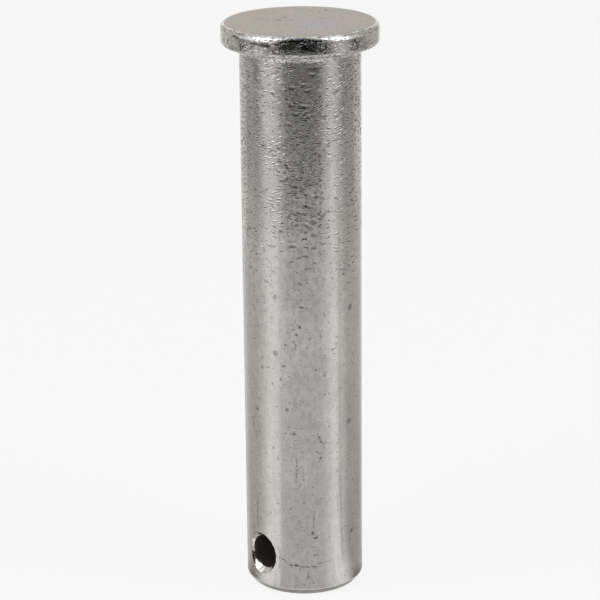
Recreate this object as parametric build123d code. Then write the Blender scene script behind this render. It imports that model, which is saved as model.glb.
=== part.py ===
"""A headed clevis pin: one cold-headed steel pin with a flat round head, a plain shank,
a bevelled tip and a countersunk cross hole for a split pin or an R-clip.

Frame: millimetres, +Z up the pin from the tip to the head. The origin is the centre of
the flat tip, and the cross hole runs along Y.
"""

from build123d import *
import os
from math import radians, tan

# ---- driving dimensions --------------------------------------------------------------

# Shank, a nominal 5/8 in
shank_diameter = 15.9
grip_length = 75.0  # from the tip to the face under the head

# Head, upset from the same bar
head_overhang = 2.4  # how far it stands out past the shank, all round
head_thickness = 2.8
head_top_radius = 0.7  # rounded rim of the top face
head_seat_radius = 0.5  # rounded rim of the face that bears on the clevis
neck_fillet = 1.0  # blend from the shank into the face under the head

# Tip bevel, steeper than 45 degrees so that the pin finds its hole
bevel_length = 0.85  # along the pin
bevel_width = 0.7  # across it, on the radius

# Cross hole, drilled through the axis and countersunk at both mouths
hole_diameter = 4.6
hole_height = 5.3  # from the tip to the hole's axis
countersink_diameter = 6.0  # where the cone meets the shank's crest
countersink_angle = 90.0  # included angle of the cone

# ---- sizes that follow ---------------------------------------------------------------

shank_radius = shank_diameter / 2
head_radius = shank_radius + head_overhang
overall_length = grip_length + head_thickness


def pin_blank():
    """The pin before drilling: half its outline, turned once round Z."""
    tip = (0, 0)
    tip_edge = (shank_radius - bevel_width, 0)
    bevel_top = (shank_radius, bevel_length)
    neck = (shank_radius, grip_length)
    seat_rim = (head_radius, grip_length)
    top_rim = (head_radius, overall_length)
    top_centre = (0, overall_length)

    outline = Polyline(tip, tip_edge, bevel_top, neck, seat_rim, top_rim, top_centre, close=True)
    half_section = make_face(outline)
    for corner, radius in (
        (neck, neck_fillet),
        (seat_rim, head_seat_radius),
        (top_rim, head_top_radius),
    ):
        sharp = half_section.vertices().sort_by_distance((*corner, 0))[0]
        half_section = fillet(sharp, radius)
    return revolve(Plane.XZ * half_section, Axis.Z)


def cross_hole_cutter():
    """The drill and both countersinks as one turned cutter, lying along Y."""
    hole_radius = hole_diameter / 2
    flare = tan(radians(countersink_angle / 2))  # radius gained per millimetre outwards
    cone_depth = (countersink_diameter / 2 - hole_radius) / flare
    cone_start = shank_radius - cone_depth
    mouth = head_radius  # the cones run on past the shank, so that they cut it cleanly
    mouth_radius = hole_radius + (mouth - cone_start) * flare

    half_section = make_face(
        Polyline(
            (0, -mouth),
            (mouth_radius, -mouth),
            (hole_radius, -cone_start),
            (hole_radius, cone_start),
            (mouth_radius, mouth),
            (0, mouth),
            close=True,
        )
    )
    return Pos(0, 0, hole_height) * revolve(half_section, Axis.Y)


clevis_pin = pin_blank() - cross_hole_cutter()

os.makedirs("parts", exist_ok=True)
export_step(clevis_pin, "parts/clevis_pin.step")
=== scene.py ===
"""A headed clevis pin of zinc-plated steel, standing on its tip on a pale table in a plain
photo studio. Lengths are in metres, heights are measured up the pin from its tip."""

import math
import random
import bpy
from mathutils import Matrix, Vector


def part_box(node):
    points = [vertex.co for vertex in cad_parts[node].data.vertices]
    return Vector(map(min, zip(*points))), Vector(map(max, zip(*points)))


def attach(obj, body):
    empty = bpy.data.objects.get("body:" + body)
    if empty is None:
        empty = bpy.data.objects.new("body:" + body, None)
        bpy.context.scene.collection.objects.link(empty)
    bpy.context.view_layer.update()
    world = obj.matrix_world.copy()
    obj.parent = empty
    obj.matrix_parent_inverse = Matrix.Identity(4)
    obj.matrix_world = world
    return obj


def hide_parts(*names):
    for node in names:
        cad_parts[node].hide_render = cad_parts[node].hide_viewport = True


bl_info = {
    "name": "Clevis Pin",
    "version": (1, 0, 0),
    "blender": (4, 5, 0),
    "location": "3D View > Sidebar > Clevis Pin",
    "description": "Models a headed clevis pin with its upset folds and zinc plate, and its studio",
    "category": "Object",
}

import bmesh
import bpy
import numpy as np
from mathutils import Matrix, Vector

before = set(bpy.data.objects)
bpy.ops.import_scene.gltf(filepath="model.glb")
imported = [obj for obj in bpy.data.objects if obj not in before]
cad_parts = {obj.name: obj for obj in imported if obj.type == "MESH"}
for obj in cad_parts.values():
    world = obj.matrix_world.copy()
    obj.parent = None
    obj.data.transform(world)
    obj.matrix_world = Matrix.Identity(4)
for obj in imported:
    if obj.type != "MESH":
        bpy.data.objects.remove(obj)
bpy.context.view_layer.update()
NODE = "clevis_pin"
MM = 0.001
PIN_LOW, PIN_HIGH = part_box(NODE)
OVERALL_LENGTH = PIN_HIGH.z - PIN_LOW.z
HEAD_RADIUS = (PIN_HIGH.x - PIN_LOW.x) / 2


# Larger folds on the side that faces the camera, as (azimuth in degrees round the pin, height,
# length in mm, slant in degrees, bend).
HEADING_FOLDS = (
    (10, 70.5, 0.8, -24, 0.3),
    (23, 69.7, 1.2, -45, 0.0),
    (29, 69.5, 0.9, -24, -0.5),
    (39, 68.6, 1.0, -48, 0.0),
    (40, 72.9, 1.0, 8, 0.8),
    (51, 67.4, 1.2, 40, 0.0),
    (56, 67.1, 1.4, 15, 0.6),
    (51, 71.2, 0.9, -5, 1.0),
    (59, 72.5, 0.8, -13, 0.6),
    (79, 68.4, 0.6, -11, 0.0),
    (19, 62.3, 1.1, 32, 0.0),
    (31, 61.1, 0.8, 0, 0.5),
    (35, 60.5, 0.9, -55, 0.0),
    (36, 58.9, 0.9, 41, 0.0),
    (68, 53.9, 1.3, 41, 0.0),
    (18, 71.0, 0.7, -20, 0.0),
    (73, 63.0, 0.9, -8, 0.4),
    (62, 56.5, 0.8, 12, 0.0),
)


# Dull spots in the plate, where drops of rinse water dried, as (azimuth in degrees, height,
# half width, half height in mm, slant in degrees).
SPOTS = (
    (21, 42.6, 0.3, 0.35, 0),
    (21, 34.8, 0.4, 0.4, 0),
    (5, 32.4, 0.3, 0.25, -20),
    (29, 33.1, 0.35, 0.18, 0),
    (45, 38.7, 0.2, 0.25, 0),
    (42, 37.6, 0.25, 0.2, 0),
    (31, 36.1, 0.18, 0.18, 0),
    (100, 40.4, 0.4, 0.5, 0),
    (98, 24.4, 0.4, 0.4, 0),
    (32, 27.0, 0.25, 0.25, 0),
    (39, 23.6, 0.25, 0.18, 0),
    (-3, 26.2, 0.3, 0.25, 0),
)
# Scratches and nicks of handling, given in the same way.
SCRATCHES = (
    (-9, 23.7, 0.08, 1.0, 6),
    (-27, 22.7, 0.12, 0.35, 0),
    (42, 39.3, 0.07, 0.4, 8),
    (41, 35.9, 0.07, 0.45, 0),
    (48, 41.4, 0.6, 0.07, -12),
    (55, 37.1, 0.5, 0.08, 5),
    (78, 35.1, 0.6, 0.08, 32),
    (65, 22.4, 0.09, 1.3, 25),
    (62, 20.9, 0.35, 0.13, -20),
    (64, 19.9, 0.08, 0.6, -25),
    (41, 18.6, 0.08, 1.9, 0),
    (44, 16.1, 0.07, 0.6, -35),
    (-5, 11.2, 0.1, 2.3, 0),
    (57.5, 11.0, 0.07, 2.0, 0),
    (59, 8.5, 0.28, 0.2, -20),
    (56, 7.2, 0.4, 0.09, 15),
    (58, 6.0, 0.25, 0.12, -30),
    (56, 9.2, 0.15, 0.3, 0),
    (28, 5.1, 1.2, 0.1, -22),
    (38, 4.5, 1.0, 0.12, -6),
    (52, 4.3, 1.3, 0.1, 4),
    (68, 4.8, 1.2, 0.06, 12),
    (51, 3.1, 0.08, 0.9, -16),
    (102, 8.3, 0.35, 0.25, 30),
)
# Marks on the head's rim, given in the same way. The two broad ones at 40° and 54°, which face the
# camera, are painted shade that deepens the dark reflection in the rim's middle. The others are
# smears.
RIM_MARKS = (
    (12.5, 76.2, 0.75, 0.07, 32),
    (-15, 76.1, 0.15, 0.45, 0),
    (-4, 77.1, 0.8, 0.16, -8),
    (14, 76.7, 0.7, 0.2, 0),
    (22, 76.6, 0.9, 0.35, -6),
    (40, 76.6, 1.3, 0.45, 4),
    (54, 76.4, 1.4, 0.5, 0),
)
# Dashes and dots on the head's top, as (x, y, half length, half width in mm, turn in degrees).
TOP_MARKS = (
    (-3.2, 0.2, 0.4, 0.22, 77),
    (-1.3, -0.4, 0.5, 0.16, 91),
    (-2.9, 7.2, 0.3, 0.3, 0),
    (-2.6, 5.7, 0.2, 0.3, 0),
    (-2.4, -1.5, 0.5, 0.4, 60),
    (1.2, 3.4, 0.9, 0.12, 60),
    (-4.6, -3.0, 0.7, 0.12, 30),
)


# ---- sizes and colours that a user would change -----------------------------------------


def length_property(name, description, millimetres):
    """A setting in metres, with its default in millimetres."""
    return bpy.props.FloatProperty(
        name=name, description=description, default=millimetres * MM, unit="LENGTH"
    )


def angle_property(name, description, degrees):
    """A setting in radians, with its default in degrees."""
    return bpy.props.FloatProperty(
        name=name, description=description, default=math.radians(degrees), subtype="ANGLE"
    )


def colour_property(name, description, hex_colour):
    """A setting that holds a colour as sRGB hex."""
    return bpy.props.StringProperty(
        name=name, description=description + ", as sRGB hex", default=hex_colour
    )


class PinSettings(bpy.types.PropertyGroup):
    """Sizes, relief and finish of the pin."""

    shank_radius: length_property("Shank radius", "Half the diameter of the plain shank", 7.95)
    head_thickness: length_property(
        "Head thickness", "From the face that bears on the clevis to the top", 2.8
    )
    head_top_radius: length_property("Top rim radius", "Rounding of the head's upper rim", 0.7)
    head_seat_radius: length_property("Seat rim radius", "Rounding of the head's lower rim", 0.5)
    neck_fillet: length_property("Neck fillet", "Blend from the shank into the head", 1.0)
    bevel_length: length_property("Tip bevel length", "Height of the bevel at the tip", 0.85)
    bevel_width: length_property("Tip bevel width", "How far the bevel draws in", 0.7)
    hole_radius: length_property("Hole radius", "Half the diameter of the cross hole", 2.3)
    hole_height: length_property("Hole height", "From the tip to the axis of the cross hole", 5.3)
    countersink_radius: length_property(
        "Countersink radius", "Half the width of each mouth at the shank's crest", 3.0
    )
    wrinkled_from: length_property(
        "Wrinkled from", "Height at which the marks of heading begin", 44
    )
    skin_relief: length_property(
        "Skin relief", "Height of the peened skin of the upper shank", 0.014
    )
    fold_count: bpy.props.IntProperty(
        name="Folds",
        description="Number of larger folds round the upper shank",
        default=200,
    )
    fold_depth: length_property("Fold depth", "Depth of the larger folds", 0.06)
    rim_relief: length_property("Rim relief", "Depth of the dents in the head's rim", 0.02)
    chatter: length_property(
        "Chatter", "Depth of the tool's chatter marks in the countersinks", 0.16
    )
    burr: length_property("Burr", "Height of the lip round the countersinks", 0.03)
    zinc: colour_property("Zinc", "Colour of the bright zinc plate", "#D6D4D0")
    zinc_shade: colour_property("Zinc shade", "Second tone of the zinc plate", "#CFCDC9")
    # Painted shade: the bevel's darker colour stands in for the table's contact shadow, which the
    # bevel mirrors.
    shaded_bevel_zinc: colour_property(
        "Bevel zinc", "Colour of the duller plate on the tip's bevel", "#8E8C88"
    )
    struck_zinc: colour_property(
        "Struck zinc", "Colour of the plate on the struck top, faintly yellow", "#AFA596"
    )
    struck_pink: colour_property("Struck pink", "Pinkish cast of the struck top", "#AFA19C")
    struck_blue: colour_property("Struck blue", "Bluish cast of the struck top", "#A9A4A6")
    # Partly painted shade: the bore's dark colour is bare steel, and it also stands in for the
    # shade inside the hole.
    bare_steel_and_shade: colour_property(
        "Bare steel", "Colour of the oily, unplated wall of the cross hole", "#8A857E"
    )


class StudioSettings(bpy.types.PropertyGroup):
    """Camera, lamps and table."""

    camera_azimuth: angle_property(
        "Camera azimuth", "Round the pin from the side that the cross hole opens on", 48.1
    )
    camera_distance: length_property(
        "Camera distance", "Across the table, from the pin's axis", 307.65
    )
    camera_height: length_property("Camera height", "Above the table", 141.26)
    camera_pitch: angle_property("Camera pitch", "How far the camera looks down", 18.247)
    camera_swing: angle_property(
        "Camera swing", "How far the camera looks to the side of the pin's axis", 0.062
    )
    camera_roll: angle_property(
        "Camera roll", "Tilt of the camera about its line of sight", -0.566
    )
    camera_lens: bpy.props.FloatProperty(
        name="Lens",
        description="Focal length in millimetres on a 36 mm sensor",
        default=144.84,
    )


def linear(hex_colour):
    """An sRGB hex colour as linear RGBA."""
    channels = [int(hex_colour.lstrip("#")[i : i + 2], 16) / 255 for i in (0, 2, 4)]
    return [c / 12.92 if c <= 0.04045 else ((c + 0.055) / 1.055) ** 2.4 for c in channels] + [1.0]


# ---- modelling ----------------------------------------------------------------------------

# Vertices closer than this are taken as one.
TOUCHING = 0.001 * MM
# Spacing of the rows of faces: on the wrinkled skin, round the cross hole, on the plain shank
# between them, up the rim, across the top, and on the cutter's cones and bore.
WRINKLED_ROWS = 0.17 * MM
DRILLED_ROWS = 0.3 * MM
PLAIN_ROWS = 0.5 * MM
RIM_ROWS = 0.18 * MM
TOP_ROWS = 0.7 * MM
CONE_ROWS = 0.15 * MM
BORE_ROWS = 0.6 * MM
BLANK_STEPS = 256
CUTTER_STEPS = 96
WORN_EDGE = 0.12 * MM
HEADING_FOLD_HALF_WIDTH = 0.12 * MM
# The peened skin grows to its full height over this length.
SKIN_RISE = 15 * MM
SKIN_GRAIN = 0.7 * MM
RIM_GRAIN = 0.6 * MM
CHATTER_GRAIN = 0.5 * MM
FOLD_SEED = 11
# The part of the random folds that lies nearly level, and the slants of the others in degrees.
LEVEL_SHARE = 0.8
STEEP_SLANTS = (-38, 34)
# How far the cutter stands out of the shank.
CUTTER_CLEARANCE = 2 * MM
BURR_WIDTH = 0.35 * MM
# A face whose middle lies deeper than this is not on the shank's skin.
SKIN_DEPTH = 0.06 * MM
# Edges sharper than this stay sharp in the shading.
SHARP_ANGLE = math.radians(40)


def select_nothing():
    """Leaves edit mode and clears the selection."""
    if bpy.context.object and bpy.context.object.mode != "OBJECT":
        bpy.ops.object.mode_set(mode="OBJECT")
    bpy.ops.object.select_all(action="DESELECT")


def draw_outline(name, points):
    """An open chain of edges in the XZ plane through (x, z) points, drawn from one vertex."""
    select_nothing()
    bpy.ops.mesh.primitive_plane_add(size=MM, location=(0, 0, 0))
    outline = bpy.context.object
    outline.name = name
    bpy.ops.object.mode_set(mode="EDIT")
    bpy.ops.mesh.select_mode(type="VERT")
    bpy.ops.mesh.select_all(action="SELECT")
    bpy.ops.mesh.merge(type="CENTER")
    bpy.ops.transform.translate(value=(points[0][0], 0, points[0][1]))
    for (x, z), (next_x, next_z) in zip(points, points[1:]):
        bpy.ops.mesh.extrude_vertices_move(
            TRANSFORM_OT_translate={"value": (next_x - x, 0, next_z - z)}
        )
    return outline


def select_where(outline, kind, test):
    """In edit mode, selects the vertices, edges or faces for which test is true."""
    bpy.ops.mesh.select_mode(type=kind)
    bpy.ops.mesh.select_all(action="DESELECT")
    mesh = bmesh.from_edit_mesh(outline.data)
    items = {"VERT": mesh.verts, "EDGE": mesh.edges, "FACE": mesh.faces}[kind]
    for item in items:
        if test(item):
            item.select_set(True)
    bmesh.update_edit_mesh(outline.data)


def round_corner(outline, corner, radius, segments):
    """Rounds a square corner of the outline to an arc."""
    place = Vector((corner[0], 0, corner[1]))
    select_where(outline, "VERT", lambda v: (v.co - place).length < TOUCHING)
    bpy.ops.mesh.bevel(offset=radius, segments=segments, profile=0.5, affect="VERTICES")


def divide(outline, start, end, spacing):
    """Cuts the straight stretch of outline between two points to about the given spacing."""
    low, high = (Vector((p[0], 0, p[1])) for p in (start, end))
    length = (high - low).length
    middle = (low + high) / 2

    def lies_between(edge):
        centre = (edge.verts[0].co + edge.verts[1].co) / 2
        return (centre - middle).length < 0.05 * length and edge.calc_length() > 0.5 * length

    select_where(outline, "EDGE", lies_between)
    bpy.ops.mesh.subdivide(number_cuts=round(length / spacing) - 1)


def turn_outline(outline, steps):
    """Spins the outline into a closed solid round the upright axis."""
    bpy.ops.mesh.select_mode(type="VERT")
    bpy.ops.mesh.select_all(action="SELECT")
    bpy.ops.mesh.spin(steps=steps, angle=math.tau, center=(0, 0, 0), axis=(0, 0, 1))
    bpy.ops.mesh.select_all(action="SELECT")
    bpy.ops.mesh.remove_doubles(threshold=TOUCHING)
    bpy.ops.mesh.normals_make_consistent(inside=False)
    bpy.ops.object.mode_set(mode="OBJECT")


def settle(piece):
    """Bakes the object's place into its mesh."""
    select_nothing()
    piece.select_set(True)
    bpy.context.view_layer.objects.active = piece
    bpy.ops.object.transform_apply(location=True, rotation=True, scale=True)


def turn_blank(pin):
    """The pin before drilling, with close rows of faces where the header wrinkled its skin."""
    neck_z = OVERALL_LENGTH - pin.head_thickness
    drilled_z = 12 * MM
    # One stretch takes 100 cuts at most, so the wrinkled one is cut in two.
    wrinkled_middle_z = 59 * MM
    tip = (0, 0)
    tip_edge = (pin.shank_radius - pin.bevel_width, 0)
    bevel_top = (pin.shank_radius, pin.bevel_length)
    drilled_top = (pin.shank_radius, drilled_z)
    wrinkled_low = (pin.shank_radius, pin.wrinkled_from)
    wrinkled_middle = (pin.shank_radius, wrinkled_middle_z)
    neck = (pin.shank_radius, neck_z)
    seat_rim = (HEAD_RADIUS, neck_z)
    top_rim = (HEAD_RADIUS, OVERALL_LENGTH)
    top = (0, OVERALL_LENGTH)
    shank = (tip, tip_edge, bevel_top, drilled_top, wrinkled_low, wrinkled_middle, neck)
    blank = draw_outline("pin", shank + (seat_rim, top_rim, top))
    round_corner(blank, tip_edge, WORN_EDGE, 2)
    round_corner(blank, bevel_top, WORN_EDGE, 2)
    round_corner(blank, neck, pin.neck_fillet, 7)
    round_corner(blank, seat_rim, pin.head_seat_radius, 5)
    round_corner(blank, top_rim, pin.head_top_radius, 7)
    divide(blank, top, (HEAD_RADIUS - pin.head_top_radius, OVERALL_LENGTH), TOP_ROWS)
    divide(
        blank,
        (HEAD_RADIUS, neck_z + pin.head_seat_radius),
        (HEAD_RADIUS, OVERALL_LENGTH - pin.head_top_radius),
        RIM_ROWS,
    )
    fillet_start = (pin.shank_radius, neck_z - pin.neck_fillet)
    divide(blank, wrinkled_middle, fillet_start, WRINKLED_ROWS)
    divide(blank, wrinkled_low, wrinkled_middle, WRINKLED_ROWS)
    divide(blank, drilled_top, wrinkled_low, PLAIN_ROWS)
    divide(blank, bevel_top, drilled_top, DRILLED_ROWS)
    turn_outline(blank, BLANK_STEPS)
    return blank


def vertex_places(piece):
    """The piece's vertices as an array of rows."""
    places = np.empty(len(piece.data.vertices) * 3)
    piece.data.vertices.foreach_get("co", places)
    return places.reshape(-1, 3)


def push(piece, name, weights, depth, grain=None, level=0.0):
    """Paints a vertex group and moves its vertices along their normals by up to depth. With a
    grain the move follows a cloudy pattern of that size, and level is the grey that stays put."""
    group = piece.vertex_groups.new(name=name)
    for index in np.nonzero(weights > 0.001)[0]:
        group.add([int(index)], float(weights[index]), "REPLACE")
    move = piece.modifiers.new(name, "DISPLACE")
    move.vertex_group = name
    move.strength = depth
    move.mid_level = level
    if grain:
        clouds = bpy.data.textures.new(name, "CLOUDS")
        clouds.noise_scale = grain
        clouds.noise_depth = 2
        move.texture = clouds
        move.texture_coords = "LOCAL"
    bpy.ops.object.modifier_apply(modifier=move.name)
    piece.vertex_groups.remove(piece.vertex_groups[name])


def fold_weights(places, radius, folds):
    """How far each vertex lies in the grooves of the folds, and on the lips beside them. A fold
    is (azimuth, height, half length, half width, slant, bend)."""
    azimuths = np.arctan2(places[:, 0], -places[:, 1])
    groove = np.zeros(len(places))
    lip = np.zeros(len(places))
    for azimuth, height, half_length, half_width, slant, bend in folds:
        across = radius * ((azimuths - azimuth + math.pi) % math.tau - math.pi)
        upright = places[:, 2] - height
        along = (across * math.cos(slant) + upright * math.sin(slant)) / half_length
        aside = upright * math.cos(slant) - across * math.sin(slant)
        aside = aside / half_width - bend * (along * along - 0.4)
        fade = np.clip(1 - along * along, 0, 1)
        groove = np.maximum(groove, fade * np.exp(-aside * aside))
        lip = np.maximum(lip, fade * np.exp(-((aside - 2.0) ** 2)))
    return groove, lip


def wrinkle(blank, pin):
    """The marks of heading: a peened skin, folds round the upper shank and a beaten rim."""
    neck_z = OVERALL_LENGTH - pin.head_thickness
    bend_z = neck_z - pin.neck_fillet
    places = vertex_places(blank)
    heights = places[:, 2]
    radii = np.hypot(places[:, 0], places[:, 1])
    rise = np.clip((heights - pin.wrinkled_from) / SKIN_RISE, 0, 1)
    on_shank = (radii > 0.95 * pin.shank_radius) & (heights < bend_z + 0.3 * MM)
    push(blank, "peened_skin", np.where(on_shank, rise, 0), pin.skin_relief, SKIN_GRAIN, 0.5)

    dice = random.Random(FOLD_SEED)
    folds = []
    for _ in range(pin.fold_count):
        height = bend_z - 0.3 * MM - (bend_z - pin.wrinkled_from) * dice.random() ** 1.8
        slant = dice.gauss(0, 10) if dice.random() < LEVEL_SHARE else dice.choice(STEEP_SLANTS)
        folds.append((
            dice.uniform(-math.pi, math.pi),
            height,
            dice.uniform(0.3, 0.8) * MM,
            dice.uniform(0.08, 0.11) * MM,
            math.radians(slant),
            dice.gauss(0, 0.8),
        ))
    for azimuth, height, length, slant, bend in HEADING_FOLDS:
        folds.append((
            math.radians(azimuth),
            height * MM,
            length / 2 * MM,
            HEADING_FOLD_HALF_WIDTH,
            math.radians(slant),
            bend,
        ))
    groove, lip = fold_weights(places, pin.shank_radius, folds)
    near = on_shank & (heights > pin.wrinkled_from)
    # The grooves are also kept as an attribute, where the shank's colour is darkened: painted shade
    # and dirt in the creases.
    shade = blank.data.attributes.new("folds", "FLOAT", "POINT")
    shade.data.foreach_set("value", np.where(near, groove, 0))
    push(blank, "fold_grooves", np.where(near, groove, 0), -pin.fold_depth)
    push(blank, "fold_lips", np.where(near, lip, 0), 0.5 * pin.fold_depth)

    on_rim = (radii > HEAD_RADIUS - 0.6 * pin.head_top_radius) & (heights > neck_z + 0.1 * MM)
    push(blank, "beaten_rim", np.where(on_rim, 1.0, 0), pin.rim_relief, RIM_GRAIN, 1.0)


def drill(blank, pin):
    """Cuts the cross hole and both countersinks, whose cones show the chatter of the tool."""
    cone_depth = pin.countersink_radius - pin.hole_radius
    cone_start = pin.shank_radius - cone_depth
    mouth = pin.shank_radius + CUTTER_CLEARANCE
    mouth_radius = pin.hole_radius + mouth - cone_start
    cutter = draw_outline(
        "cross_hole_cutter",
        (
            (0, -mouth),
            (mouth_radius, -mouth),
            (pin.hole_radius, -cone_start),
            (pin.hole_radius, cone_start),
            (mouth_radius, mouth),
            (0, mouth),
        ),
    )
    divide(cutter, (mouth_radius, -mouth), (pin.hole_radius, -cone_start), CONE_ROWS)
    divide(cutter, (mouth_radius, mouth), (pin.hole_radius, cone_start), CONE_ROWS)
    divide(cutter, (pin.hole_radius, -cone_start), (pin.hole_radius, cone_start), BORE_ROWS)
    turn_outline(cutter, CUTTER_STEPS)
    places = vertex_places(cutter)
    radii = np.hypot(places[:, 0], places[:, 1])
    on_cone = (radii > pin.hole_radius + 0.05 * MM) & (abs(places[:, 2]) < mouth - 0.1 * MM)
    push(cutter, "chatter", np.where(on_cone, 1.0, 0), pin.chatter, CHATTER_GRAIN, 0.5)
    cutter.rotation_euler = (math.pi / 2, 0, 0)
    cutter.location = (0, 0, pin.hole_height)
    settle(cutter)
    select_nothing()
    bpy.context.view_layer.objects.active = blank
    cut = blank.modifiers.new("cross_hole", "BOOLEAN")
    cut.object = cutter
    cut.operation = "DIFFERENCE"
    cut.solver = "EXACT"
    bpy.ops.object.modifier_apply(modifier=cut.name)
    bpy.data.objects.remove(cutter, do_unlink=True)


def raise_burr(blank, pin):
    """The lip of metal that the countersink threw up round each mouth."""
    places = vertex_places(blank)
    from_axis = np.hypot(places[:, 0], places[:, 2] - pin.hole_height)
    on_skin = np.hypot(places[:, 0], places[:, 1]) > pin.shank_radius - 0.02 * MM
    near = np.clip(1 - (from_axis - pin.countersink_radius) / BURR_WIDTH, 0, 1)
    near = np.where(on_skin & (from_axis < 1.3 * pin.countersink_radius), near, 0)
    push(blank, "burr", near, pin.burr)


def finish_faces(blank, pin):
    """Gives each face the finish of its surface: shank, rim, struck top, countersinks or hole."""
    neck_z = OVERALL_LENGTH - pin.head_thickness
    finishes = (
        zinc_plated_shank(pin),
        upset_rim(pin),
        struck_top(pin),
        countersunk_mouth(pin),
        drilled_bore(pin),
        shaded_bevel(pin),
    )
    blank.data.materials.clear()
    for finish in finishes:
        blank.data.materials.append(finish)

    def from_hole_axis(face):
        centre = face.calc_center_median()
        return math.hypot(centre.x, centre.z - pin.hole_height)

    def on_skin(face):
        centre = face.calc_center_median()
        return math.hypot(centre.x, centre.y) > pin.shank_radius - SKIN_DEPTH

    def is_rim(face):
        return face.calc_center_median().z > neck_z - pin.neck_fillet

    def is_top(face):
        return is_rim(face) and face.normal.z > 0.97

    def is_mouth(face):
        return not on_skin(face) and from_hole_axis(face) < 1.2 * pin.countersink_radius

    def is_bore(face):
        return not on_skin(face) and from_hole_axis(face) < pin.hole_radius + 0.02 * MM

    def is_bevel(face):
        return face.calc_center_median().z < pin.bevel_length

    bpy.ops.object.mode_set(mode="EDIT")
    for index, test in enumerate((is_rim, is_top, is_mouth, is_bore, is_bevel), start=1):
        select_where(blank, "FACE", test)
        blank.active_material_index = index
        bpy.ops.object.material_slot_assign()
    bpy.ops.object.mode_set(mode="OBJECT")


# ---- materials ----------------------------------------------------------------------------


def give(tree, socket, value):
    """Sets a socket to a value, or links it to another node's output."""
    if isinstance(value, bpy.types.NodeSocket):
        tree.links.new(value, socket)
    else:
        socket.default_value = value


def add_node(tree, kind, settings, sockets):
    """Adds a node, sets its options, and gives each named socket a value or a link."""
    node = tree.nodes.new(kind)
    for name, value in settings.items():
        setattr(node, name, value)
    for key, value in sockets.items():
        give(tree, node.inputs[key], value)
    return node


def compute(tree, operation, *values):
    """The result of an operation on numbers."""
    sockets = dict(enumerate(values))
    return add_node(tree, "ShaderNodeMath", {"operation": operation}, sockets).outputs[0]


def compute_vector(tree, operation, *values):
    """The result of an operation on vectors."""
    sockets = dict(enumerate(values))
    return add_node(tree, "ShaderNodeVectorMath", {"operation": operation}, sockets).outputs[0]


def mix_colours(tree, share, first, second):
    """Mixes two colours, which are sockets 6 and 7 of the node, with the result at output 2."""
    sockets = {0: share, 6: first, 7: second}
    return add_node(tree, "ShaderNodeMix", {"data_type": "RGBA"}, sockets).outputs[2]


def new_metal(name, hex_colour, roughness):
    """A bare metal, with its node tree, its shader and the place on the pin, in metres. The flat
    colour and roughness hold until a pattern is linked over them."""
    material = bpy.data.materials.new(name)
    material.use_nodes = True
    tree = material.node_tree
    shader = tree.nodes["Principled BSDF"]
    shader.inputs["Base Color"].default_value = linear(hex_colour)
    shader.inputs["Metallic"].default_value = 1.0
    shader.inputs["Roughness"].default_value = roughness
    place = add_node(tree, "ShaderNodeTexCoord", {}, {}).outputs["Object"]
    return material, tree, shader, place


def streak(tree, shader, strength):
    """Draws reflections out along the pin, as lines ground round it do."""
    shader.inputs["Anisotropic"].default_value = strength
    shader.inputs["Anisotropic Rotation"].default_value = 0.25
    tangent = add_node(tree, "ShaderNodeTangent", {"direction_type": "RADIAL", "axis": "Z"}, {})
    give(tree, shader.inputs["Tangent"], tangent.outputs[0])


def grain(tree, place, across, upright, detail, shift):
    """A cloudy pattern round 0.5, with patches so wide and so tall. shift sets it apart from
    other patterns of the same size."""
    scale = (1 / across, 1 / across, 1 / upright)
    sockets = {"Vector": place, "Location": (shift, shift, shift), "Scale": scale}
    scaled = add_node(tree, "ShaderNodeMapping", {}, sockets).outputs[0]
    sockets = {"Vector": scaled, "Scale": 1.0, "Detail": detail, "Roughness": 0.55}
    return add_node(tree, "ShaderNodeTexNoise", {}, sockets).outputs["Fac"]


def spread(tree, value, start, end, low, high):
    """Maps value from start..end to low..high, smoothly and held at both ends."""
    return add_node(
        tree,
        "ShaderNodeMapRange",
        {"interpolation_type": "SMOOTHSTEP"},
        {"Value": value, "From Min": start, "From Max": end, "To Min": low, "To Max": high},
    ).outputs[0]


def unroll(tree, place, radius):
    """The place on an upright wall of the given radius, as (way round, height) in metres."""
    split = add_node(tree, "ShaderNodeSeparateXYZ", {}, {0: place}).outputs
    front = compute(tree, "MULTIPLY", split["Y"], -1.0)
    turn = compute(tree, "ARCTAN2", split["X"], front)
    sockets = {"X": compute(tree, "MULTIPLY", turn, radius), "Y": split["Z"]}
    return add_node(tree, "ShaderNodeCombineXYZ", {}, sockets).outputs[0]


def scatter(tree, vector, scale):
    """Cells scattered over an unrolled wall, and three random numbers for each of them."""
    sockets = {"Vector": vector, "Scale": scale}
    cells = add_node(tree, "ShaderNodeTexVoronoi", {"voronoi_dimensions": "2D"}, sockets).outputs
    dice = add_node(tree, "ShaderNodeSeparateColor", {}, {"Color": cells["Color"]}).outputs
    return cells, dice


def freckles(tree, unrolled, spacing, share):
    """Small round dots about so far apart. share is the part of the places that have one."""
    cells, dice = scatter(tree, unrolled, 1 / spacing)
    size = spread(tree, dice[0], 0.0, share, 0.3, 0.0)
    edge = compute(tree, "SUBTRACT", size, cells["Distance"])
    return spread(tree, edge, 0.0, 0.12, 0.0, 1.0)


def ramp(tree, value, stops):
    """A grey ramp through (place, grey) stops."""
    node = add_node(tree, "ShaderNodeValToRGB", {}, {"Fac": value})
    elements = node.color_ramp.elements
    for element, (position, grey) in zip(elements, (stops[0], stops[-1])):
        element.position = position
        element.color = (grey, grey, grey, 1)
    for position, grey in stops[1:-1]:
        elements.new(position).color = (grey, grey, grey, 1)
    return node.outputs["Color"]


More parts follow.
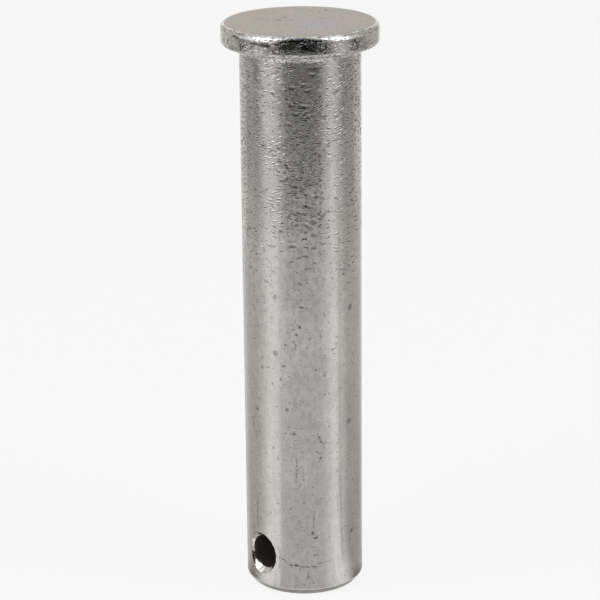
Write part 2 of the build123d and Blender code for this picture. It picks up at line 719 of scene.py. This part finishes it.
def folds(tree, unrolled, across, upright, width, share):
    """Short slanting and bent folds in the skin, about so far apart, each a groove of the given
    half width with a lip above it. Gives their height, level at 0, and the grooves alone. share
    is the part of the places that have one."""
    sockets = {"Vector": unrolled, "Scale": (1 / across, 1 / upright, 1)}
    scaled = add_node(tree, "ShaderNodeMapping", {}, sockets).outputs[0]
    cells, dice = scatter(tree, scaled, 1.0)
    offset = compute_vector(tree, "SUBTRACT", scaled, cells["Position"])
    offset = add_node(tree, "ShaderNodeSeparateXYZ", {}, {0: offset}).outputs
    along = offset["X"]
    steepest = 0.45 * across / width
    most_bent = 0.8 * across / width
    slant = spread(tree, dice[1], 0.0, 1.0, -steepest, steepest)
    bend = spread(tree, dice[2], 0.0, 1.0, -most_bent, most_bent)
    slope = compute(tree, "MULTIPLY_ADD", along, bend, slant)
    rise = compute(tree, "MULTIPLY", along, slope)
    aside = compute(tree, "MULTIPLY_ADD", offset["Y"], upright / width, rise)
    # From here on 0.5 is the middle of the fold, and its half width is 0.2.
    sockets = {"Value": aside, "From Min": -2.5, "From Max": 2.5}
    ramped = add_node(tree, "ShaderNodeMapRange", {}, sockets).outputs[0]
    profile = ramp(tree, ramped, ((0.2, 0.5), (0.38, 0.0), (0.5, 0.35), (0.62, 0.85), (0.8, 0.5)))
    groove = ramp(tree, ramped, ((0.2, 0.0), (0.3, 1.0), (0.46, 1.0), (0.54, 0.0)))
    ends = spread(tree, compute(tree, "ABSOLUTE", along), 0.15, 0.42, 1.0, 0.0)
    drawn = compute(tree, "ADD", dice[0], share)
    there = compute(tree, "MULTIPLY", ends, spread(tree, drawn, 0.95, 1.15, 0.0, 1.0))
    level = compute(tree, "SUBTRACT", profile, 0.5)
    return compute(tree, "MULTIPLY", level, there), compute(tree, "MULTIPLY", groove, there)


def soft_marks(tree, place, frames, core=0.6):
    """Single marks, 1 in their cores and 0 beside them, each in its own frame, which is
    (location, rotation, half sizes)."""
    nearest = None
    for location, rotation, half_sizes in frames:
        sockets = {"Vector": place, "Location": location, "Rotation": rotation, "Scale": half_sizes}
        local = add_node(tree, "ShaderNodeMapping", {"vector_type": "TEXTURE"}, sockets).outputs[0]
        away = add_node(tree, "ShaderNodeVectorMath", {"operation": "LENGTH"}, {0: local})
        away = away.outputs["Value"]
        nearest = compute(tree, "MINIMUM", away, nearest) if nearest else away
    return spread(tree, nearest, core, 1.3, 1.0, 0.0)


def marks_round(tree, place, radius, rows):
    """Soft marks on an upright wall of the given radius. Each row is (azimuth in degrees, height,
    half width, half height in mm, slant in degrees)."""
    deep = 2 * MM
    frames = []
    for azimuth, height, half_width, half_height, slant in rows:
        turn = math.radians(azimuth)
        frames.append((
            (radius * math.sin(turn), -radius * math.cos(turn), height * MM),
            (0, -math.radians(slant), turn),
            (half_width * MM, deep, half_height * MM),
        ))
    return soft_marks(tree, place, frames)


def wavered(tree, place, size, reach):
    """The place moved about at random by up to half of reach, in waves of the given size."""
    half = reach / 2
    sockets = {"Vector": place, "Scale": 1 / size, "Detail": 1.0}
    drift = add_node(tree, "ShaderNodeTexNoise", {}, sockets).outputs["Color"]
    centred = compute_vector(tree, "SUBTRACT", place, (half, half, half))
    return compute_vector(tree, "MULTIPLY_ADD", drift, (reach, reach, reach), centred)


def sum_layers(tree, layers):
    """Adds up (pattern, amount) layers."""
    total = 0.0
    for pattern, amount in layers:
        total = compute(tree, "MULTIPLY_ADD", pattern, amount, total)
    return total


def darken(tree, colour, layers):
    """Darkens a colour by (pattern, share) layers."""
    for pattern, share in layers:
        sockets = {0: colour, "Scale": compute(tree, "MULTIPLY_ADD", pattern, -share, 1.0)}
        colour = add_node(tree, "ShaderNodeVectorMath", {"operation": "SCALE"}, sockets).outputs[0]
    return colour


def add_relief(tree, shader, layers):
    """Gives the shader a fine relief of (pattern, height in mm) layers."""
    sockets = {"Distance": MM, "Height": sum_layers(tree, layers)}
    give(tree, shader.inputs["Normal"], add_node(tree, "ShaderNodeBump", {}, sockets).outputs[0])


def zinc_plated_shank(pin):
    """Bright zinc electroplate over a drawn and centreless-ground bar. The grinding lines run
    round it, so reflections are drawn out along it, and its upper part is wrinkled by heading."""
    material, tree, shader, place = new_metal("zinc_plated_shank", pin.zinc, 0.32)
    streak(tree, shader, 0.78)

    up = add_node(tree, "ShaderNodeSeparateXYZ", {}, {0: place}).outputs["Z"]
    upset = spread(tree, up, pin.wrinkled_from - 6 * MM, 64 * MM, 0.0, 1.0)
    patches = spread(tree, grain(tree, place, 4 * MM, 5 * MM, 1.0, 3.0), 0.35, 0.6, 0.35, 1.0)
    share = compute(tree, "MULTIPLY", upset, patches)
    unrolled = unroll(tree, place, pin.shank_radius)
    height, groove = folds(tree, unrolled, 1.05 * MM, 0.44 * MM, 0.085 * MM, share)
    fine_height, fine_groove = folds(tree, unrolled, 0.62 * MM, 0.28 * MM, 0.055 * MM, share)
    peel = grain(tree, place, 0.5 * MM, 0.25 * MM, 2.0, 1.0)
    peel = compute(tree, "MULTIPLY", peel, upset)
    # Real grinding lines are finer than these, and would not show.
    ground = grain(tree, place, 9 * MM, 0.22 * MM, 2.0, 5.0)
    drawn = grain(tree, place, 0.22 * MM, 7 * MM, 2.0, 7.0)
    dents = grain(tree, place, 2.2 * MM, 2.8 * MM, 2.0, 9.0)
    dots = freckles(tree, unrolled, 0.6 * MM, 0.14)
    # Dark dashes shaped like fold grooves, with no relief: painted crease shade and dirt.
    dashes = folds(tree, unrolled, 0.8 * MM, 0.5 * MM, 0.08 * MM, 0.1)[1]
    spots = marks_round(tree, place, pin.shank_radius, SPOTS)
    wandering = wavered(tree, place, 0.5 * MM, 0.5 * MM)
    scratched = marks_round(tree, wandering, pin.shank_radius, SCRATCHES)
    broken = grain(tree, place, 0.35 * MM, 0.35 * MM, 1.0, 15.0)
    scratched = compute(tree, "MULTIPLY", scratched, spread(tree, broken, 0.35, 0.6, 0.15, 1.0))
    crease_shade = add_node(tree, "ShaderNodeAttribute", {"attribute_name": "folds"}, {}).outputs["Fac"]
    add_relief(
        tree,
        shader,
        (
            (height, 0.052),
            (fine_height, 0.016),
            (peel, 0.008),
            (ground, 0.0025),
            (drawn, 0.0015),
            (dents, 0.012),
            (scratched, -0.01),
        ),
    )

    blotches = spread(tree, grain(tree, place, 0.7 * MM, 1.1 * MM, 3.0, 11.0), 0.35, 0.7, 0.0, 1.0)
    speckle = spread(tree, grain(tree, place, 0.25 * MM, 0.25 * MM, 2.0, 17.0), 0.3, 0.7, 0.0, 1.0)
    shaded = spread(tree, grain(tree, place, 5 * MM, 8 * MM, 1.0, 13.0), 0.4, 0.6, 0.0, 1.0)
    # The fold grooves, fine grooves, creases and dashes darken the colour as painted shade and
    # dirt. The other layers are the plate's own spots, scratches, specks and tone.
    colour = darken(
        tree,
        mix_colours(tree, shaded, linear(pin.zinc), linear(pin.zinc_shade)),
        (
            (groove, 0.85),
            (fine_groove, 0.45),
            (spots, 0.45),
            (scratched, 0.75),
            (crease_shade, 0.6),
            (dots, 0.4),
            (dashes, 0.5),
            (speckle, 0.12),
            (blotches, 0.1),
            (drawn, 0.1),
        ),
    )
    give(tree, shader.inputs["Base Color"], colour)
    dull = sum_layers(tree, ((groove, 0.15), (spots, 0.12), (blotches, 0.05)))
    give(tree, shader.inputs["Roughness"], compute(tree, "ADD", dull, 0.21))
    return material


def upset_rim(pin):
    """Bright zinc electroplate over steel that bulged freely between the header's dies: a sharp but
    lumpy mirror, whose pits and fold grooves are darkened as painted shade."""
    material, tree, shader, place = new_metal("zinc_plated_rim", pin.zinc, 0.22)
    streak(tree, shader, 0.3)
    unrolled = unroll(tree, place, HEAD_RADIUS)
    height, groove = folds(tree, unrolled, 0.75 * MM, 0.33 * MM, 0.065 * MM, 0.65)
    lumps = grain(tree, place, 0.9 * MM, 0.35 * MM, 2.0, 1.0)
    pits = spread(tree, grain(tree, place, 0.3 * MM, 0.18 * MM, 2.0, 4.0), 0.5, 0.7, 0.0, 1.0)
    patches = spread(tree, grain(tree, place, 1.6 * MM, 0.7 * MM, 2.0, 6.0), 0.45, 0.65, 0.0, 1.0)
    # Smears, and in front two broad marks of painted shade that deepen the rim's dark reflected
    # middle.
    smears_and_shade = marks_round(tree, wavered(tree, place, 0.6 * MM, 0.5 * MM), HEAD_RADIUS, RIM_MARKS)
    add_relief(tree, shader, ((height, 0.03), (lumps, 0.012), (pits, -0.008)))
    # Painted shade in the fold grooves and pits. The patches are the plate's own tone.
    marks = ((groove, 0.8), (pits, 0.6), (patches, 0.25), (smears_and_shade, 0.75))
    give(tree, shader.inputs["Base Color"], darken(tree, linear(pin.zinc)[:3], marks))
    dull = sum_layers(tree, ((patches, 0.1), (pits, 0.1)))
    give(tree, shader.inputs["Roughness"], compute(tree, "ADD", dull, 0.15))
    return material


def shaded_bevel(pin):
    """The bevel at the tip, turned with a coarse tool before plating: duller. Its darker colour is
    painted shade, which stands in for the table's contact shadow that the bevel mirrors.
    """
    material, tree, shader, place = new_metal("zinc_plated_bevel_shaded", pin.zinc_shade, 0.38)
    blotches = spread(tree, grain(tree, place, 1.2 * MM, 0.5 * MM, 3.0, 2.0), 0.4, 0.65, 0.0, 1.0)
    # Painted shade: the darker colour stands in for the contact shadow that the bevel mirrors.
    colour = darken(tree, linear(pin.shaded_bevel_zinc)[:3], ((blotches, 0.3),))
    give(tree, shader.inputs["Base Color"], colour)
    add_relief(tree, shader, ((grain(tree, place, 6 * MM, 0.15 * MM, 2.0, 3.0), 0.01),))
    return material


def struck_top(pin):
    """Zinc electroplate over the face that the header struck flat: satin, with a faint yellow,
    pink and blue cast from its passivation."""
    material, tree, shader, place = new_metal("zinc_plated_top", pin.struck_zinc, 0.36)
    cast = spread(tree, grain(tree, place, 3 * MM, 3 * MM, 2.0, 2.0), 0.4, 0.6, 0.0, 1.0)
    blue_frame = ((1.8 * MM, 0, OVERALL_LENGTH), (0, 0, 0), (4.5 * MM, 3 * MM, 3 * MM))
    blue = soft_marks(tree, wavered(tree, place, 3 * MM, 3 * MM), (blue_frame,), 0.0)
    colour = mix_colours(tree, cast, linear(pin.struck_zinc), linear(pin.struck_pink))
    colour = mix_colours(tree, blue, colour, linear(pin.struck_blue))
    specks = spread(tree, grain(tree, place, 0.25 * MM, 0.25 * MM, 2.0, 5.0), 0.3, 0.75, 0.0, 1.0)
    deep = 2 * MM
    frames = []
    for x, y, half_length, half_width, turn in TOP_MARKS:
        frames.append((
            (x * MM, y * MM, OVERALL_LENGTH),
            (0, 0, math.radians(turn)),
            (half_length * MM, half_width * MM, deep),
        ))
    dashes = soft_marks(tree, wavered(tree, place, 0.5 * MM, 0.4 * MM), frames)
    colour = darken(tree, colour, ((specks, 0.5), (dashes, 0.6)))
    give(tree, shader.inputs["Base Color"], colour)
    satin = grain(tree, place, 0.3 * MM, 0.3 * MM, 2.0, 3.0)
    add_relief(tree, shader, ((satin, 0.015), (specks, -0.006)))
    return material


def countersunk_mouth(pin):
    """Bright zinc electroplate over a countersink cut with a chattering tool."""
    material, tree, shader, place = new_metal("zinc_plated_countersink", pin.zinc, 0.2)
    tears = grain(tree, place, 0.16 * MM, 0.16 * MM, 2.0, 1.0)
    add_relief(tree, shader, ((tears, 0.02),))
    dirt = spread(tree, grain(tree, place, 0.3 * MM, 0.3 * MM, 2.0, 4.0), 0.5, 0.65, 0.0, 1.0)
    give(tree, shader.inputs["Base Color"], darken(tree, linear(pin.zinc)[:3], ((dirt, 0.5),)))
    return material


def drilled_bore(pin):
    """The drilled wall, which the plating bath hardly reached: oily steel, dark in colour both as
    bare steel and as painted shade inside the hole.
    """
    material, tree, shader, place = new_metal("drilled_steel_and_shade", pin.bare_steel_and_shade, 0.5)
    rings = grain(tree, place, 3 * MM, 0.2 * MM, 1.0, 1.0)
    add_relief(tree, shader, ((rings, 0.01),))
    return material


# ---- operators ----------------------------------------------------------------------------


class CLEVISPIN_OT_pin(bpy.types.Operator):
    """Model the pin in place of its plain solid"""

    bl_idname = "clevis_pin.pin"
    bl_label = "Pin"

    def execute(self, context):
        pin = context.scene.clevis_pin
        blank = turn_blank(pin)
        wrinkle(blank, pin)
        drill(blank, pin)
        raise_burr(blank, pin)
        settle(blank)
        bpy.ops.object.shade_smooth_by_angle(angle=SHARP_ANGLE)
        finish_faces(blank, pin)
        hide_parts(NODE)
        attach(blank, "root")
        return {"FINISHED"}


# Side views of the cards, as (distance from the pin, height) in mm.
ARCH = ((215, 2), (450, 2), (520, 150), (520, 400), (350, 600), (100, 680), (-150, 690))
WALL = ((300, 0), (300, 500))
# The cards, as (name, pivot to the right of the pin's axis and towards the camera in mm, azimuth
# from the camera, half width and soft edge in degrees, side view, tones at its inner and outer
# end). They glow and show only in the metal, as painted reflections: dark ones in front and over
# the far floor, pale ones for the floor and walls, and white gleams beside the lamps. The floor's
# painted reflection is darker near the pin as painted shade, and darkest at the feet as a painted
# contact shadow.
CARDS = (
    ("front_arch", 0, 0, 3, 39, 6, ARCH, "#050505", "#050505"),
    ("far_floor_shade", 0, 0, 0, 125, 10, ((225, 1), (700, 1)), "#121110", "#121110"),
    ("front_floor_reflection", 0, 4, 8, 56, 26, ((3, 1), (232, 1)), "#D0D0D0", "#FFFFFF"),
    ("left_foot_shadow", -5, 5, -128, 46, 40, ((1, 1), (8, 1)), "#706E6C", "#BEBCBA"),
    ("left_floor_reflection", -5, 5, -118, 50, 34, ((8, 1), (225, 1)), "#BEBCBA", "#E0DEDC"),
    ("right_foot_shadow", 5, 5, 128, 46, 40, ((1, 1), (8, 1)), "#646260", "#B8B7B5"),
    ("right_floor_reflection", 5, 5, 121, 49, 26, ((8, 1), (225, 1)), "#B8B7B5", "#D8D6D4"),
    ("left_gleam", -4, 5, -57, 26, 14, ((3, 0.5), (225, 0.5)), "#FFFFFF", "#FFFFFF"),
    ("right_gleam", 4, 5, 66, 20, 14, ((3, 0.5), (225, 0.5)), "#FFFFFF", "#FFFFFF"),
    ("left_far_gleam", 0, 0, -64, 24, 16, ((225, 1.5), (450, 1.5)), "#BCBCBC", "#BCBCBC"),
    ("right_far_gleam", 0, 0, 62, 21, 16, ((225, 1.5), (450, 1.5)), "#BCBCBC", "#BCBCBC"),
    ("left_wall", 0, 0, -125, 32, 10, WALL, "#D4D2D0", "#D4D2D0"),
    ("right_wall", 0, 0, 125, 34, 10, WALL, "#C2C0BD", "#C2C0BD"),
)
# The area lamps, as (name, azimuth from the camera in degrees, width in mm). Their radiance is in
# units where 1 is white.
SOFT_BOXES = (("left_soft_box", -62, 540), ("right_soft_box", 65, 440))
SOFT_BOX_ELEVATION = math.radians(35)
SOFT_BOX_DISTANCE = 900 * MM
SOFT_BOX_HEIGHT = 1150 * MM
SOFT_BOX_RADIANCE = 1.5
TABLE_RADIUS = 3.0
TABLE_STEPS = 96
CARD_STEPS = 24
# How far what is seen of the paper is washed out, and the world's strength as a light.
PAPER_WASH = 0.85
WORLD_LIGHT = 0.35


def seen_rays(tree):
    """1 where a camera, mirror or glass looks, and 0 where light is gathered."""
    path = add_node(tree, "ShaderNodeLightPath", {}, {})
    shown = path.outputs["Is Camera Ray"]
    for ray in ("Is Glossy Ray", "Is Transmission Ray"):
        shown = compute(tree, "MAXIMUM", shown, path.outputs[ray])
    return shown


def show_mix(tree, share, first, second):
    """Shows a mix of two shaders on the surface."""
    mixed = add_node(tree, "ShaderNodeMixShader", {}, {0: share, 1: first, 2: second})
    give(tree, tree.nodes["Material Output"].inputs["Surface"], mixed.outputs[0])


def white_paper():
    """Matt white paper. What is seen of it is washed out towards white, but keeps its shadow."""
    material = bpy.data.materials.new("white_paper")
    material.use_nodes = True
    tree = material.node_tree
    shader = tree.nodes["Principled BSDF"]
    shader.inputs["Base Color"].default_value = linear("#F4F4F4")
    shader.inputs["Roughness"].default_value = 0.9
    shader.inputs["Specular IOR Level"].default_value = 0.0
    glow = add_node(tree, "ShaderNodeEmission", {}, {"Color": (1, 1, 1, 1), "Strength": 1.0})
    washed = compute(tree, "MULTIPLY", seen_rays(tree), PAPER_WASH)
    show_mix(tree, washed, shader.outputs[0], glow.outputs[0])
    return material


def glowing_card(name, inner_tone, outer_tone):
    """A card that glows in a tone that runs from inner to outer, and fades away at its edges."""
    material = bpy.data.materials.new(name)
    material.use_nodes = True
    tree = material.node_tree
    far = add_node(tree, "ShaderNodeAttribute", {"attribute_name": "outward"}, {}).outputs["Fac"]
    tone = mix_colours(tree, far, linear(inner_tone), linear(outer_tone))
    glow = add_node(tree, "ShaderNodeEmission", {}, {"Color": tone, "Strength": 1.0})
    clear = add_node(tree, "ShaderNodeBsdfTransparent", {}, {})
    edge = add_node(tree, "ShaderNodeAttribute", {"attribute_name": "fade"}, {}).outputs["Fac"]
    show_mix(tree, edge, glow.outputs[0], clear.outputs[0])
    return material


def add_card(name, pivot, azimuth, half_width, soft, side_view, finish):
    """A card curved round a pivot beside the pin's axis, that only reflections show. side_view is
    its section as (distance from the pivot, height) points in mm, half_width its half angle, and
    soft the angle over which its edges fade away."""
    card = draw_outline(name, [(x * MM, z * MM) for x, z in side_view])
    bpy.ops.mesh.select_all(action="SELECT")
    bpy.ops.mesh.spin(steps=CARD_STEPS, angle=2 * half_width, center=(0, 0, 0), axis=(0, 0, 1))
    bpy.ops.object.mode_set(mode="OBJECT")
    places = vertex_places(card)
    turned = abs(abs(np.arctan2(places[:, 1], places[:, 0])) - half_width)
    turned = np.where(places[:, 0] < 0, 0, turned)
    fade = card.data.attributes.new("fade", "FLOAT", "POINT")
    fade.data.foreach_set("value", np.clip((turned - half_width + soft) / soft, 0, 1))
    distances = np.hypot(places[:, 0], places[:, 1])
    outward = card.data.attributes.new("outward", "FLOAT", "POINT")
    outward.data.foreach_set("value", (distances - distances.min()) / max(np.ptp(distances), MM))
    card.rotation_euler.z = azimuth + half_width - math.pi / 2
    card.location = pivot
    settle(card)
    card.data.materials.append(finish)
    card.visible_camera = False
    card.visible_diffuse = False
    card.visible_shadow = False


def level_way(azimuth):
    """The level direction at an azimuth round the pin."""
    return Vector((math.sin(azimuth), -math.cos(azimuth), 0))


def add_soft_box(name, azimuth, width):
    """An area lamp that faces the pin's middle."""
    data = bpy.data.lights.new(name, "AREA")
    data.shape = "RECTANGLE"
    data.size = width
    data.size_y = SOFT_BOX_HEIGHT
    data.energy = SOFT_BOX_RADIANCE * math.pi * width * SOFT_BOX_HEIGHT
    lamp = bpy.data.objects.new(name, data)
    bpy.context.scene.collection.objects.link(lamp)
    away = level_way(azimuth) * math.cos(SOFT_BOX_ELEVATION)
    away.z = math.sin(SOFT_BOX_ELEVATION)
    lamp.location = Vector((0, 0, OVERALL_LENGTH / 2)) + away * SOFT_BOX_DISTANCE
    lamp.rotation_euler = away.to_track_quat("Z", "Y").to_euler()
    lamp.visible_camera = False


def light_world(scene):
    """A plain white surround, dimmer as a light than it is seen."""
    world = bpy.data.worlds.new("studio")
    world.use_nodes = True
    scene.world = world
    tree = world.node_tree
    background = tree.nodes["Background"]
    sockets = {"Value": seen_rays(tree), "To Min": WORLD_LIGHT, "To Max": 1.0}
    strength = add_node(tree, "ShaderNodeMapRange", {}, sockets)
    give(tree, background.inputs["Strength"], strength.outputs[0])
    background.inputs["Color"].default_value = (1, 1, 1, 1)


def add_camera(scene, studio):
    """The scene's camera, at the place and with the lens of the settings."""
    data = bpy.data.cameras.new("camera")
    data.lens = studio.camera_lens
    data.sensor_width = 36
    data.clip_start = 0.01
    data.clip_end = 10
    camera = bpy.data.objects.new("camera", data)
    scene.collection.objects.link(camera)
    place = level_way(studio.camera_azimuth) * studio.camera_distance
    place.z = studio.camera_height
    camera.matrix_world = (
        Matrix.Translation(place)
        @ Matrix.Rotation(studio.camera_azimuth + studio.camera_swing, 4, "Z")
        @ Matrix.Rotation(math.pi / 2 - studio.camera_pitch, 4, "X")
        @ Matrix.Rotation(studio.camera_roll, 4, "Z")
    )
    scene.camera = camera


class CLEVISPIN_OT_studio(bpy.types.Operator):
    """Set up the table, the lamps, the cards and the camera"""

    bl_idname = "clevis_pin.studio"
    bl_label = "Studio"

    def execute(self, context):
        studio = context.scene.clevis_pin_studio
        facing = studio.camera_azimuth
        select_nothing()
        bpy.ops.mesh.primitive_circle_add(
            vertices=TABLE_STEPS, radius=TABLE_RADIUS, fill_type="NGON", location=(0, 0, 0)
        )
        table = bpy.context.object
        table.name = "table"
        table.data.materials.append(white_paper())

        aside = Vector((math.cos(facing), math.sin(facing), 0))
        towards = level_way(facing)
        for name, right, front, azimuth, half_width, soft, side_view, inner, outer in CARDS:
            add_card(
                name,
                (aside * right + towards * front) * MM,
                facing + math.radians(azimuth),
                math.radians(half_width),
                math.radians(soft),
                side_view,
                glowing_card(name, inner, outer),
            )
        for name, azimuth, width in SOFT_BOXES:
            add_soft_box(name, facing + math.radians(azimuth), width * MM)
        light_world(context.scene)
        add_camera(context.scene, studio)
        context.scene.view_settings.view_transform = "Standard"
        return {"FINISHED"}


class CLEVISPIN_PT_panel(bpy.types.Panel):
    """Lists the steps and their settings"""

    bl_label = "Clevis Pin"
    bl_idname = "CLEVISPIN_PT_panel"
    bl_space_type = "VIEW_3D"
    bl_region_type = "UI"
    bl_category = "Clevis Pin"

    def draw(self, context):
        layout = self.layout
        for operator in (CLEVISPIN_OT_pin, CLEVISPIN_OT_studio):
            layout.operator(operator.bl_idname)
        for settings in (context.scene.clevis_pin, context.scene.clevis_pin_studio):
            box = layout.box()
            for name in settings.__annotations__:
                box.prop(settings, name)


CLASSES = (
    PinSettings,
    StudioSettings,
    CLEVISPIN_OT_pin,
    CLEVISPIN_OT_studio,
    CLEVISPIN_PT_panel,
)


def register():
    for cls in CLASSES:
        bpy.utils.register_class(cls)
    bpy.types.Scene.clevis_pin = bpy.props.PointerProperty(type=PinSettings)
    bpy.types.Scene.clevis_pin_studio = bpy.props.PointerProperty(type=StudioSettings)


def unregister():
    del bpy.types.Scene.clevis_pin_studio
    del bpy.types.Scene.clevis_pin
    for cls in reversed(CLASSES):
        bpy.utils.unregister_class(cls)


def main():
    register()
    bpy.ops.clevis_pin.pin()
    bpy.ops.clevis_pin.studio()


if __name__ == "__main__":
    main()
